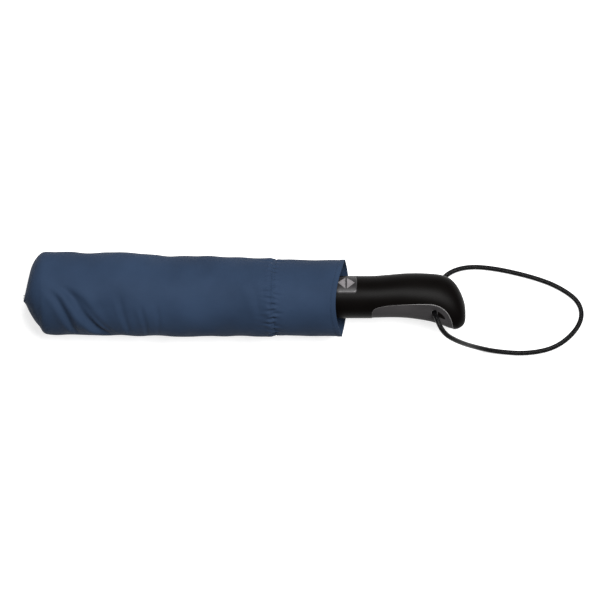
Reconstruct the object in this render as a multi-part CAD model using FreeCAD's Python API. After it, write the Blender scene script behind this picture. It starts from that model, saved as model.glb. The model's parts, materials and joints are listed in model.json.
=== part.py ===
"""Three-fold automatic umbrella in its sheath, lying along X with the handle at +X. Millimetres, +Z up."""

import FreeCAD, Part
import math
import os

V = FreeCAD.Vector

# ---- whole object --------------------------------------------------------------------------------
AXIS_Z = 24.9            # height of the shaft axis over the table
CROWN_X = -124.5         # the ribs' hinge plane on the crown
RIBS = 6
RIB_STEP = 360.0 / RIBS

# ---- rib linkage, in one rib's plane: x from the crown to the handle, z outward ------------------
PIVOT_R = 10.0           # radius of the hinges on crown and runner
HALF = 80.0              # crown hinge to mid hinge, and mid hinge to runner hinge
KNEE_A = (168.0, 4.05)   # top rib to middle rib
KNEE_B = (2.0, 6.75)     # middle rib to outer rib
TIP_X = 170.0
LAYER = 2.7              # spacing of the stacked ribs
RIB_H = 1.1              # half height of a rib
TOP_Z = LAYER
MID_Z = 2 * LAYER
OUT_Z = 3 * LAYER
PIN_R = 0.6
BORE_R = 0.65
STUD_R = 0.45
ROD_Y = (2.5, 3.1)       # the rods' own layer beside the ribs

# levers: length and direction in degrees at rest, then the rod's length and direction
LEVER_STRETCHER = (5.001, 13.19)
LEVER_MIDDLE = (4.538, 28.34)
CONNECTING_ROD = (87.723, 3.205)
LEVER_OUTER = (5.444, -14.22)
LEVER_TOP = (5.158, -22.37)
SPRING_ROD = (165.777, -1.079)

# ---- shaft ---------------------------------------------------------------------------------------
UPPER_TUBE = (-4.6, 160.0, 5.2, 4.7)      # from, to, outer and inner radius
MIDDLE_TUBE = (2.8, 165.0, 5.95, 5.27)
LOWER_TUBE = (3.5, 222.0, 7.0, 6.02)
HUB_R = 8.7
RUNNER_BORE = 7.07
RUNNER_R = 8.4

# ---- handle, x in the object's frame -------------------------------------------------------------
HANDLE_X = 52.0
STEM_R = 13.7
STEM_END = 84.0
# station x, centre y, half width in y, half height in z
HANDLE_SECTIONS = [
    (95.0, 0.6, 14.1, 13.7),
    (104.0, 0.8, 14.6, 13.7),
    (113.0, 0.3, 15.2, 13.4),
    (120.5, -0.6, 15.7, 12.9),
    (127.0, -2.0, 16.3, 12.2),
    (132.5, -4.2, 16.2, 11.0),
    (136.5, -6.3, 14.4, 9.5),
    (139.5, -8.3, 11.2, 7.4),
    (141.5, -10.0, 7.6, 5.0),
    (142.5, -11.0, 4.2, 2.8),
]
INSERT_DEPTH = 1.8
INSERT_BORDER = [
    (82.1, -13.0),
    (82.3, -9.5),
    (84.2, -7.6),
    (90.0, -6.1),
    (100.0, -5.2),
    (116.0, -4.8),
    (124.0, -5.8),
    (129.3, -9.0),
    (132.5, -13.6),
    (134.4, -19.6),
]
CORD_HOLE = (122.2, -10.3, 2.6)

# ---- push button and latch: x, tangential t and radial h ------------------------------------------
BUTTON_TURN = -40.0
BUTTON_X = (58.3, 72.5)
BUTTON_HALF = 7.0
BUTTON_R = 14.3
BUTTON_UNDER = 10.5
BUTTON_TRAVEL = 1.5
LATCH_PIVOT = (54.5, 9.8)
LATCH_HALF = 1.8
TOOTH_HALF = 1.0

# ---- sheath and folded canopy --------------------------------------------------------------------
SHEATH_WALL = 0.8
SHEATH_PROFILE = [
    (-128.0, 26.6),
    (-116.0, 27.1),
    (-90.0, 27.1),
    (-40.0, 26.2),
    (8.0, 25.6),
    (19.5, 25.1),
    (30.0, 25.5),
    (72.0, 25.0),
]
SHEATH_CLOSED_X = -142.5
GATHER_X = 19.5
MOUTH_X = 63.0
MOUTH_LEAN = 3.0
BUNDLE_R = 23.2
BUNDLE_IN = 19.8

# ---- wrist cord ----------------------------------------------------------------------------------
CORD_R = 1.6
CORD_ROUTE = [
    (122.2, -10.3, 27.5),
    (122.2, -10.3, 41.5),
    (128.0, -23.0, 42.0),
    (137.0, -29.0, 31.0),
    (150.0, -32.5, 10.0),
    (163.0, -35.3, 1.8),
    (184.0, -36.8, 1.8),
    (204.0, -31.0, 1.8),
    (218.5, -16.5, 1.8),
    (217.5, -3.5, 1.8),
    (203.0, 6.5, 1.8),
    (184.0, 13.3, 1.8),
    (160.0, 18.4, 1.8),
    (143.0, 19.2, 2.4),
    (130.0, 14.5, 4.6),
    (122.6, 3.0, 6.0),
    (122.2, -10.3, 8.5),
    (122.2, -10.3, 21.0),
]


# ---- small helpers -------------------------------------------------------------------------------
def polar(centre, lever):
    """The point at (length, degrees) from a centre in the rib's plane."""
    angle = math.radians(lever[1])
    return (centre[0] + lever[0] * math.cos(angle), centre[1] + lever[0] * math.sin(angle))


def plate(points, y0, y1):
    """A polygon in the x-z plane, as thick as y0 to y1."""
    corners = [V(x, y0, z) for x, z in points]
    face = Part.Face(Part.makePolygon(corners + corners[:1]))
    return face.extrude(V(0, y1 - y0, 0))


def disc(centre, radius, y0, y1):
    return Part.makeCylinder(radius, y1 - y0, V(centre[0], y0, centre[1]), V(0, 1, 0))


def box(x0, x1, y0, y1, z0, z1):
    return Part.makeBox(x1 - x0, y1 - y0, z1 - z0, V(x0, y0, z0))


def link_bar(start, end, half, y0, y1):
    """A flat bar between two points, without its eyes."""
    dx, dz = end[0] - start[0], end[1] - start[1]
    length = math.hypot(dx, dz)
    nx, nz = -dz / length * half, dx / length * half
    corners = [
        (start[0] + nx, start[1] + nz),
        (end[0] + nx, end[1] + nz),
        (end[0] - nx, end[1] - nz),
        (start[0] - nx, start[1] - nz),
    ]
    return plate(corners, y0, y1)


def stud(centre, side, reach):
    """A riveted stud on the side +1 or -1 that a rod's eye turns on."""
    inner, outer = sorted((side * reach, side * 3.2))
    head = sorted((side * 3.2, side * 3.45))
    return disc(centre, STUD_R, inner, outer).fuse(disc(centre, 1.4, head[0], head[1]))


def channel(x0, x1, z, half_y):
    """A rib's channel section, open towards the shaft."""
    body = box(x0, x1, -half_y, half_y, z - RIB_H, z + RIB_H)
    return body.cut(box(x0 + 2, x1 - 2, -half_y + 0.45, half_y - 0.45, z - RIB_H - 1, z + RIB_H - 0.45))


def union(first, *others):
    return first.fuse(list(others)).removeSplitter()


def in_rib_plane(shape, index):
    """Moves a shape from the rib's plane to rib number index of the folded umbrella."""
    placed = shape.copy()
    placed.translate(V(CROWN_X, 0, PIVOT_R))
    placed.rotate(V(0, 0, 0), V(1, 0, 0), index * RIB_STEP)
    placed.translate(V(0, 0, AXIS_Z))
    return placed


def at_button(shape):
    """Moves a shape built at x, t, h to the button's side of the handle."""
    placed = shape.copy()
    placed.rotate(V(0, 0, 0), V(1, 0, 0), BUTTON_TURN)
    placed.translate(V(0, 0, AXIS_Z))
    return placed


def along_shaft(shape):
    """Moves a shape built round the x axis, with x from the crown, to the shaft."""
    placed = shape.copy()
    placed.translate(V(CROWN_X, 0, AXIS_Z))
    return placed


def tube(x0, x1, outer, inner):
    solid = Part.makeCylinder(outer, x1 - x0, V(x0, 0, 0), V(1, 0, 0))
    return solid.cut(Part.makeCylinder(inner, x1 - x0, V(x0, 0, 0), V(1, 0, 0)))


def turned(points):
    """A closed x-r profile turned round the x axis."""
    corners = [V(x, 0, r) for x, r in points]
    face = Part.Face(Part.makePolygon(corners + corners[:1]))
    return face.revolve(V(0, 0, 0), V(1, 0, 0), 360)


def coil(radius, wire, pitch, length):
    """A compression spring standing on the x-y plane."""
    helix = Part.makeHelix(pitch, length - wire, radius)
    section = Part.Wire(Part.makeCircle(wire / 2, V(radius, 0, 0), V(0, 1, 0)))
    spring = Part.Wire(helix.Edges).makePipeShell([section], True, True)
    spring.translate(V(0, 0, wire / 2))
    return spring


# ---- one rib's six pieces ------------------------------------------------------------------------
def make_top_rib():
    """Hinged on the crown, carries the stretcher under its middle and the middle rib at its end."""
    outline = [(0, -1.1), (4, -1.1), (10, TOP_Z - RIB_H), (10, TOP_Z + RIB_H), (6, 3.8), (0, 1.1)]
    tongue = plate(outline, -1.3, 1.3)
    root = disc((0, 0), 1.1, -1.3, 1.3)
    body = channel(9.5, 160.0, TOP_Z, 1.3)
    saddle = box(77, 83, -2.0, 2.0, TOP_Z - RIB_H, TOP_Z + RIB_H)
    ears = []
    for y0, y1 in ((-2.0, -1.4), (1.4, 2.0)):
        ears.append(disc((HALF, 0), 1.3, y0, y1))
        ears.append(box(HALF - 1.3, HALF + 1.3, y0, y1, 0, 2))
    pin = disc((HALF, 0), PIN_R, -2.0, 2.0)
    lever = polar(KNEE_A, LEVER_TOP)
    outline = [(159.5, 1.6), (lever[0], 1.0), (lever[0], 3.1), (KNEE_A[0] + 1, 4.9)]
    outline += [(166.5, 4.9), (163.0, 3.8), (159.5, 3.8)]
    end = plate(outline, -1.3, 0.8)
    knee = disc(KNEE_A, 1.3, -1.3, 0.8)
    boss = disc(lever, 1.1, -1.3, 0.8)
    axle = disc(KNEE_A, PIN_R, -1.3, 1.7)
    rib = union(root, tongue, body, saddle, *ears, pin, end, knee, boss, axle, stud(lever, -1, 1.0))
    return rib.cut(disc((0, 0), BORE_R, -3, 3))


def make_stretcher():
    """From the top rib's middle to the runner, with the connecting rod's lever by its upper hinge."""
    far = 2 * HALF
    body = channel(HALF, far, 0, 1.3)
    ends = [disc((HALF, 0), 1.1, -1.3, 1.3), disc((far, 0), 1.1, -1.3, 1.3)]
    lever = polar((HALF, 0), LEVER_STRETCHER)
    cheek = plate([(84.0, 0.6), (84.0, -0.9), (93.0, -1.1), (93.0, 0.9), (lever[0] + 0.8, 1.9)], 1.3, 2.1)
    boss = disc(lever, 1.05, 1.4, 2.1)
    bar = union(body, *ends, cheek, boss, stud(lever, 1, 2.0))
    bar = bar.cut(disc((HALF, 0), BORE_R, -3, 2.2))
    return bar.cut(disc((far, 0), BORE_R, -3, 3))


def make_rod(start, lever, eye, side):
    """A flat rod with a close eye on its own lever and a slack eye at the far end."""
    y0, y1 = sorted((side * ROD_Y[0], side * ROD_Y[1]))
    end = polar(start, lever)
    rod = union(link_bar(start, end, 0.7, y0, y1), disc(start, 1.2, y0, y1), disc(end, eye + 0.7, y0, y1))
    rod = rod.cut(disc(start, STUD_R + 0.05, y0 - 1, y1 + 1))
    return rod.cut(disc(end, eye, y0 - 1, y1 + 1))


def make_middle_rib():
    """Folded back over the top rib. Its tail beyond the knee is the connecting rod's lever."""
    lever = polar(KNEE_A, LEVER_MIDDLE)
    body = channel(10.0, 160.0, MID_Z, 1.15)
    root = plate(
        [(158.0, 4.3), (KNEE_A[0], 2.9), (KNEE_A[0] + 1.2, 3.6), (lever[0] + 0.7, lever[1] - 0.8),
         (lever[0], lever[1] + 1.0), (166.0, 6.5), (158.0, 6.5)],
        0.9,
        1.7,
    )
    knee = disc(KNEE_A, 1.3, 0.9, 1.7)
    boss = disc(lever, 1.05, 0.9, 1.7)
    end = plate([(12.0, 4.3), (3.0, 5.2), (1.2, 6.0), (2.0, 8.0), (6.0, 6.5), (12.0, 6.5)], -0.8, 1.15)
    elbow = disc(KNEE_B, 1.3, -0.8, 1.15)
    axle = disc(KNEE_B, PIN_R, -1.7, 1.15)
    rib = union(body, root, knee, boss, end, elbow, axle, stud(lever, 1, 1.5))
    return rib.cut(disc(KNEE_A, BORE_R, 0.8, 1.8))


def make_outer_rib():
    """Folded forward over the middle rib, with the canopy's tip cup at its end."""
    lever = polar(KNEE_B, LEVER_OUTER)
    shank = box(12.0, TIP_X - 4, -1.0, 1.0, OUT_Z - RIB_H, OUT_Z + RIB_H)
    root = plate(
        [(1.2, 5.8), (lever[0] - 0.4, lever[1] - 1.0), (lever[0] + 1.0, lever[1] + 0.3), (10.0, 7.0),
         (14.0, 7.0), (14.0, 9.2), (8.0, 9.2), (1.3, 7.8)],
        -1.7,
        -0.9,
    )
    elbow = disc(KNEE_B, 1.3, -1.7, -0.9)
    boss = disc(lever, 1.0, -1.7, -0.9)
    cup = Part.makeCylinder(1.3, 5.0, V(TIP_X - 5, 0, OUT_Z), V(1, 0, 0))
    ball = Part.makeSphere(1.3, V(TIP_X, 0, OUT_Z))
    rib = union(shank, root, elbow, boss, cup, ball, stud(lever, -1, 1.5))
    return rib.cut(disc(KNEE_B, BORE_R, -1.8, -0.8))


# ---- shaft ---------------------------------------------------------------------------------------
def lugs(x, radius):
    """Six forks that the ribs or stretchers hinge in, with their pins."""
    shapes = []
    for index in range(RIBS):
        pieces = [disc((x, 0), PIN_R, -2.2, 2.2)]
        for y0, y1 in ((-2.2, -1.4), (1.4, 2.2)):
            pieces.append(disc((x, 0), radius, y0, y1))
            pieces.append(box(x - radius, x + radius, y0, y1, -2.2, 0))
        fork = union(*pieces)
        shapes.append(in_rib_plane(fork, index))
    return shapes


def make_crown():
    hub = tube(-4.6, 2.2, HUB_R, UPPER_TUBE[2])
    return union(along_shaft(hub), *lugs(0, 1.3))


def make_runner():
    sleeve = tube(154.0, 175.5, RUNNER_R, RUNNER_BORE)
    collar = tube(157.5, 162.5, HUB_R, RUNNER_BORE)
    runner = union(along_shaft(union(sleeve, collar)), *lugs(2 * HALF, 1.3))
    groove = tube(171.6, 174.6, RUNNER_R + 1, 7.8)
    return runner.cut(along_shaft(groove))


def make_ferrule_cap():
    """Clamps the canopy's centre on the crown and closes the top of the shaft."""
    profile = [(-4.7, 0), (-4.7, 5.1), (-5.8, 5.1), (-5.8, 9.4), (-6.9, 9.6), (-8.2, 8.6), (-10.0, 6.0),
               (-12.5, 5.0), (-14.0, 3.4), (-14.4, 0)]
    return along_shaft(turned(profile))


def make_main_spring():
    """Thrusts between the bottom of the shaft in the handle and the crown."""
    spring = coil(3.7, 1.0, 6.2, 214.0)
    spring.rotate(V(0, 0, 0), V(0, 1, 0), 90)
    spring.translate(V(-3.0, 0, 0))
    return along_shaft(spring)


# ---- handle --------------------------------------------------------------------------------------
def oval_wire(x, y, half_y, half_z):
    """A closed oval section as one smooth curve."""
    angles = [2 * math.pi * step / 16 for step in range(16)]
    points = [V(x, y + half_y * math.cos(a), half_z * math.sin(a)) for a in angles]
    curve = Part.BSplineCurve()
    curve.interpolate(points, PeriodicFlag=True)
    return Part.Wire(curve.toShape())


def handle_solid(inset):
    """A round stem that runs into the lofted beak, each section inset by the same depth."""
    radius = STEM_R - inset
    wires = [oval_wire(HANDLE_X, 0, radius, radius), oval_wire(STEM_END, 0, radius, radius)]
    for x, y, half_y, half_z in HANDLE_SECTIONS:
        wires.append(oval_wire(x - inset * 0.5 * (x > 125), y, half_y - inset, half_z - inset))
    return Part.makeLoft(wires, True, True)


def insert_region(grow):
    """Everything on the insert's side of its border, as a prism through the handle."""
    points = [V(x, y + grow, -30) for x, y in INSERT_BORDER]
    border = Part.BSplineCurve()
    border.interpolate(points)
    close = [V(134.4, -40, -30), V(82.1, -40, -30)]
    edges = [border.toShape()]
    edges.append(Part.LineSegment(points[-1], close[0]).toShape())
    edges.append(Part.LineSegment(close[0], close[1]).toShape())
    edges.append(Part.LineSegment(close[1], points[0]).toShape())
    return Part.Face(Part.Wire(edges)).extrude(V(0, 0, 60))


def button_space():
    """The pocket for the button, the latch's slot and the spring's pocket, all in the handle."""
    x0, x1 = BUTTON_X
    floor = BUTTON_UNDER - BUTTON_TRAVEL - 0.1
    pocket = box(x0 - 0.1, x1 + 0.1, -BUTTON_HALF - 0.1, BUTTON_HALF + 0.1, floor, 16)
    tail_run = box(50.0, x1 - 1.5, -LATCH_HALF - 0.3, LATCH_HALF + 0.3, 7.25, 12.2)
    pin = disc(LATCH_PIVOT, 0.75, -3.4, 3.4)
    spring_hole = Part.makeCylinder(1.9, 4.0, V(66.0, 4.8, 6.6), V(0, 0, 1))
    return at_button(union(pocket, tail_run, pin, spring_hole))


def make_handle_and_insert():
    solid = handle_solid(0)
    core = handle_solid(INSERT_DEPTH)
    insert = solid.common(insert_region(0)).cut(core)
    shell = solid.cut(insert)
    bore = Part.makeCylinder(LOWER_TUBE[2], 200, V(CROWN_X + LOWER_TUBE[1] - 200, 0, 0), V(1, 0, 0))
    shell = shell.cut(bore)
    for piece in (insert, shell):
        piece.translate(V(0, 0, AXIS_Z))
    x, y, radius = CORD_HOLE
    hole = Part.makeCylinder(radius, 60, V(x, y, 0))
    shell = shell.cut(button_space()).cut(hole)
    return shell, insert.cut(hole)


def make_push_button():
    """A curved plate with two raised triangles, base to base, and a foot over the latch's tail."""
    x0, x1 = BUTTON_X
    curve = Part.makeCylinder(BUTTON_R, 40, V(50, 0, 0), V(1, 0, 0))
    plan = box(x0, x1, -BUTTON_HALF, BUTTON_HALF, BUTTON_UNDER, 20)
    plan = plan.makeFillet(2.0, [e for e in plan.Edges if abs(e.tangentAt(e.FirstParameter).z) > 0.99])
    key = plan.common(curve)
    key = key.cut(box(x0 - 1, 67.0, -LATCH_HALF - 0.4, LATCH_HALF + 0.4, BUTTON_UNDER - 1, 12.1))
    middle = (x0 + x1) / 2
    raised = Part.makeCylinder(BUTTON_R + 0.5, 40, V(50, 0, 0), V(1, 0, 0))
    for side in (-1, 1):
        base = middle + side * 0.5
        corners = [V(base, -4.6, 12.5), V(base, 4.6, 12.5), V(base + side * 5.0, 0, 12.5)]
        mark = Part.Face(Part.makePolygon(corners + corners[:1])).extrude(V(0, 0, 5)).common(raised)
        key = key.fuse(mark)
    return at_button(key.removeSplitter())


def make_latch_lever():
    """Rocks on its pin: the button's foot presses the tail and the tooth lifts out of the runner."""
    x, h = LATCH_PIVOT
    outline = [(47.4, 9.0), (47.6, 8.0), (48.5, 8.0), (48.8, 9.0), (52.5, 9.1), (52.5, 10.3), (47.4, 10.1)]
    tooth = plate(outline, -TOOTH_HALF, TOOTH_HALF)
    beam = box(52.4, 69.8, -LATCH_HALF, LATCH_HALF, 9.1, 10.4)
    pin = disc((x, h), 0.7, -3.3, 3.3)
    return at_button(union(tooth, beam, disc((x, h), 1.2, -LATCH_HALF, LATCH_HALF), pin))


def make_button_spring():
    spring = coil(1.35, 0.4, 0.95, 3.75)
    spring.translate(V(66.0, 4.8, 6.7))
    return at_button(spring)


# ---- fabric --------------------------------------------------------------------------------------
def sheath_skin(inset, floor, mouth):
    """The sheath's turned shape, inset by a depth, with its underside flattened at floor."""
    nose = SHEATH_CLOSED_X + inset
    points = [V(nose, 0, 0), V(nose, 0, 15.0), V(nose + 2.2, 0, 21.5), V(nose + 6.8, 0, 25.2)]
    points += [V(x, 0, r - inset) for x, r in SHEATH_PROFILE]
    points[-1] = V(mouth, 0, SHEATH_PROFILE[-1][1] - inset)
    curve = Part.BSplineCurve()
    curve.interpolate(points[1:])
    edges = [Part.LineSegment(points[0], points[1]).toShape(), curve.toShape()]
    edges.append(Part.LineSegment(points[-1], V(mouth, 0, 0)).toShape())
    edges.append(Part.LineSegment(V(mouth, 0, 0), points[0]).toShape())
    skin = Part.Face(Part.Wire(edges)).revolve(V(0, 0, 0), V(1, 0, 0), 360)
    skin.translate(V(0, 0, AXIS_Z))
    return skin.common(Part.makeBox(400, 100, 100, V(-200, -50, floor)))


def make_sheath():
    outer = sheath_skin(0, 0, 72.0)
    inner = sheath_skin(SHEATH_WALL, SHEATH_WALL, 74.0)
    side = [V(MOUTH_X - MOUTH_LEAN, 0, 30), V(MOUTH_X + MOUTH_LEAN, 0, -30), V(120, 0, -30), V(120, 0, 30)]
    wedge = Part.Face(Part.makePolygon(side + side[:1])).extrude(V(0, 100, 0))
    wedge.translate(V(0, -50, AXIS_Z))
    return outer.cut(inner).cut(wedge)


def make_sheath_elastic():
    ring = Part.makeCylinder(24.05, 5.0, V(GATHER_X - 2.5, 0, AXIS_Z), V(1, 0, 0))
    return ring.cut(Part.makeCylinder(23.8, 5.0, V(GATHER_X - 2.5, 0, AXIS_Z), V(1, 0, 0)))


def make_canopy():
    """The pleated canopy as one bag round the folded ribs, gathered under the ferrule cap."""
    profile = [(174.2, BUNDLE_IN), (174.2, BUNDLE_R), (0.0, BUNDLE_R), (-4.0, 18.5), (-5.7, 13.0)]
    profile += [(-5.7, 5.4), (-4.9, 5.4), (-4.9, 12.4), (-3.0, 17.8), (-0.6, BUNDLE_IN)]
    return along_shaft(turned(profile))


def make_closure_strap():
    return along_shaft(tube(118.0, 131.0, BUNDLE_R + 0.3, BUNDLE_R + 0.02))


def make_canopy_fold(level, side):
    """One tuck of the canopy that lies between two ribs, at one of three levels."""
    bottom = 11.9 + 2.5 * level
    tuck = box(12.0, 156.0, -0.5, 0.5, bottom, bottom + 2.0)
    tuck.rotate(V(0, 0, 0), V(1, 0, 0), side * RIB_STEP / 2)
    return along_shaft(tuck)


# ---- wrist cord ----------------------------------------------------------------------------------
def rounded_route(points):
    """Straight runs joined by tangent arcs; returns the wire and the arcs' radii."""
    route = [V(*p) for p in points]
    edges = []
    radii = []
    start = route[0]
    for before, corner, after in zip(route, route[1:], route[2:]):
        into = corner - before
        out = after - corner
        half_turn = into.getAngle(out) / 2
        reach = 0.45 * min(into.Length, out.Length)
        radii.append(reach / math.tan(half_turn))
        enter = corner - V(into).normalize() * reach
        leave = corner + V(out).normalize() * reach
        bisector = (V(out).normalize() - V(into).normalize()).normalize()
        centre = corner + bisector * (radii[-1] / math.cos(half_turn))
        middle = centre - bisector * radii[-1]
        edges.append(Part.LineSegment(start, enter).toShape())
        edges.append(Part.Arc(enter, middle, leave).toShape())
        start = leave
    edges.append(Part.LineSegment(start, route[-1]).toShape())
    return Part.Wire(edges), radii


def make_wrist_cord():
    wire, radii = rounded_route(CORD_ROUTE)
    first = V(*CORD_ROUTE[1]) - V(*CORD_ROUTE[0])
    section = Part.Wire(Part.makeCircle(CORD_R, V(*CORD_ROUTE[0]), first))
    cord = wire.makePipeShell([section], True, False, 2)
    print("cord arc radii", [round(r, 1) for r in radii])
    print("cord length", round(wire.Length, 1), "volume", round(cord.Volume, 1),
          "section x length", round(math.pi * CORD_R ** 2 * wire.Length, 1))
    return cord


def make_cord_joint():
    """The crimped sleeve in the beak's hole that joins the two ends of the cord."""
    x, y, _ = CORD_HOLE
    sleeve = Part.makeCylinder(2.3, 9.0, V(x, y, 20.5))
    return sleeve.cut(Part.makeCylinder(CORD_R, 9.0, V(x, y, 20.5)))


# ---- files ---------------------------------------------------------------------------------------
def save(name, shape):
    solids = shape.Solids
    if len(solids) != 1 or not shape.isValid():
        print("CHECK", name, "solids", len(solids), "valid", shape.isValid())
    solids[0].exportStep(f"parts/{name}.step")


def main():
    os.makedirs("parts", exist_ok=True)
    stretcher_eye = polar((HALF, 0), LEVER_STRETCHER)
    outer_eye = polar(KNEE_B, LEVER_OUTER)
    rib_pieces = {
        "top_rib": make_top_rib(),
        "stretcher": make_stretcher(),
        "connecting_rod": make_rod(stretcher_eye, CONNECTING_ROD, 1.02, 1),
        "middle_rib": make_middle_rib(),
        "spring_rod": make_rod(outer_eye, SPRING_ROD, 0.88, -1),
        "outer_rib": make_outer_rib(),
    }
    for name, piece in rib_pieces.items():
        for index in range(RIBS):
            save(f"{name}_{index + 1}", in_rib_plane(piece, index))
    shell, insert = make_handle_and_insert()
    save("handle_shell", shell)
    save("grip_insert", insert)
    save("push_button", make_push_button())
    save("button_spring", make_button_spring())
    save("latch_lever", make_latch_lever())
    save("upper_tube", along_shaft(tube(*UPPER_TUBE)))
    save("middle_tube", along_shaft(tube(*MIDDLE_TUBE)))
    save("lower_tube", along_shaft(tube(*LOWER_TUBE)))
    save("main_spring", make_main_spring())
    save("crown", make_crown())
    save("ferrule_cap", make_ferrule_cap())
    save("runner", make_runner())
    save("sheath", make_sheath())
    save("sheath_elastic", make_sheath_elastic())
    save("canopy", make_canopy())
    save("closure_strap", make_closure_strap())
    for level, ring in enumerate(("inner", "middle", "outer")):
        for side, half in ((1, "left"), (-1, "right")):
            save(f"canopy_{ring}_{half}", make_canopy_fold(level, side))
    save("wrist_cord", make_wrist_cord())
    save("cord_joint", make_cord_joint())


main()
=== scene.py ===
"""The looks of the folding umbrella: fabric sheath, beak handle, wrist cord, rolled and opened canopy."""

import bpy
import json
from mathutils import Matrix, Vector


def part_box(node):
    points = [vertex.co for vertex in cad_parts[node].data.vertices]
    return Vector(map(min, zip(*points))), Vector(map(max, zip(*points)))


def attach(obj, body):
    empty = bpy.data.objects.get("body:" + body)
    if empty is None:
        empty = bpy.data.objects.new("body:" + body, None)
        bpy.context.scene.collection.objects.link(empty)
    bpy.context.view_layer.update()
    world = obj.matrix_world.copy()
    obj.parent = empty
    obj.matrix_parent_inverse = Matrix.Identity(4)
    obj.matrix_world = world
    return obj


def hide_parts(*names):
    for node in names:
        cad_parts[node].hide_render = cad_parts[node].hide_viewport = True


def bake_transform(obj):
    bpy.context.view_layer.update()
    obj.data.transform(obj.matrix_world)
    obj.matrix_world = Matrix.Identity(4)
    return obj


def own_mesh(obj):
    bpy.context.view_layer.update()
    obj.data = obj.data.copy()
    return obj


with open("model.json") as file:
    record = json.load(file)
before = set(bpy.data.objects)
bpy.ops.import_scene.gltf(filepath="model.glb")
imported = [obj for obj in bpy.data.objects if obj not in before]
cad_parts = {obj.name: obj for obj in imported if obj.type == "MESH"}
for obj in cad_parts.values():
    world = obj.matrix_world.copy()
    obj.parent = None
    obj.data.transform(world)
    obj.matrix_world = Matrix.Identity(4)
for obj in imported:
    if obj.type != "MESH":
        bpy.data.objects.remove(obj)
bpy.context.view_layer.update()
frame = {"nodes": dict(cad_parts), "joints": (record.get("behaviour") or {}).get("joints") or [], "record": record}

import json
import math

import bmesh
import bpy
import numpy as np
from mathutils import Matrix, Vector

JOINTS = {joint["name"]: joint for joint in frame["joints"]}
RATIOS = {c["joint"]: c["ratio"] for c in frame["record"]["behaviour"]["couplings"]}

# ---- places, from the record and the CAD ---------------------------------------------------------
HINGE = Vector(JOINTS["frame_open"]["pos_m"])
CROWN_X = HINGE.x
AXIS_Z = (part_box("upper_tube")[0].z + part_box("upper_tube")[1].z) / 2
SHEATH_LOW, SHEATH_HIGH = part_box("sheath")
BUNDLE_LOW, BUNDLE_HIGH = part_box("canopy")
KNEE_A = JOINTS["middle_rib_1_fold"]["pos_m"]
KNEE_B = JOINTS["outer_rib_1_fold"]["pos_m"]
TIP_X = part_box("outer_rib_1")[1].x
OPEN_TURN = JOINTS["frame_open"]["range_deg"][1]

CORD_ROUTE = [
    (0.1222, -0.0103, 0.0275),
    (0.1222, -0.0103, 0.0420),
    (0.1275, -0.0232, 0.0420),
    (0.1380, -0.0290, 0.0310),
    (0.1500, -0.0326, 0.0100),
    (0.1630, -0.0354, 0.0018),
    (0.1840, -0.0369, 0.0018),
    (0.2040, -0.0322, 0.0018),
    (0.2186, -0.0175, 0.0018),
    (0.2180, -0.0035, 0.0018),
    (0.2030, 0.0072, 0.0018),
    (0.1840, 0.0138, 0.0018),
    (0.1600, 0.0190, 0.0018),
    (0.1430, 0.0198, 0.0024),
    (0.1300, 0.0150, 0.0046),
    (0.1226, 0.0030, 0.0060),
    (0.1222, -0.0103, 0.0085),
    (0.1222, -0.0103, 0.0210),
]
CORD_R = 0.0016


# ---- materials -----------------------------------------------------------------------------------
def material(name, colour, roughness, metallic=0.0, sheen=0.0, specular=0.5):
    """A principled material; returns it with its nodes, its links and its shader."""
    made = bpy.data.materials.new(name)
    made.use_nodes = True
    tree = made.node_tree
    shader = tree.nodes["Principled BSDF"]
    shader.inputs["Base Color"].default_value = (*colour, 1)
    shader.inputs["Roughness"].default_value = roughness
    shader.inputs["Metallic"].default_value = metallic
    shader.inputs["Sheen Weight"].default_value = sheen
    shader.inputs["Specular IOR Level"].default_value = specular
    return made, tree.nodes, tree.links, shader


def textured(nodes, links, kind, scale, coordinates="Object", **values):
    """A texture node on the given coordinates."""
    place = nodes.new("ShaderNodeTexCoord")
    texture = nodes.new(kind)
    links.new(place.outputs[coordinates], texture.inputs["Vector"])
    texture.inputs["Scale"].default_value = scale
    for name, value in values.items():
        texture.inputs[name].default_value = value
    return texture


def ramp(nodes, links, source, low, high, low_colour, high_colour):
    """Maps a texture's value between two colours."""
    node = nodes.new("ShaderNodeValToRGB")
    node.color_ramp.elements[0].position = low
    node.color_ramp.elements[1].position = high
    node.color_ramp.elements[0].color = (*low_colour, 1)
    node.color_ramp.elements[1].color = (*high_colour, 1)
    links.new(source, node.inputs["Fac"])
    return node


def bump(nodes, links, shader, height, strength, distance, before=None):
    """Gives the shader a bump, on top of an earlier one if there is one."""
    node = nodes.new("ShaderNodeBump")
    node.inputs["Strength"].default_value = strength
    node.inputs["Distance"].default_value = distance
    links.new(height, node.inputs["Height"])
    if before is not None:
        links.new(before.outputs["Normal"], node.inputs["Normal"])
    links.new(node.outputs["Normal"], shader.inputs["Normal"])
    return node


def shade(colour, factor):
    """The colour made darker or lighter."""
    return tuple(min(1.0, c * factor) for c in colour)


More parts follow.
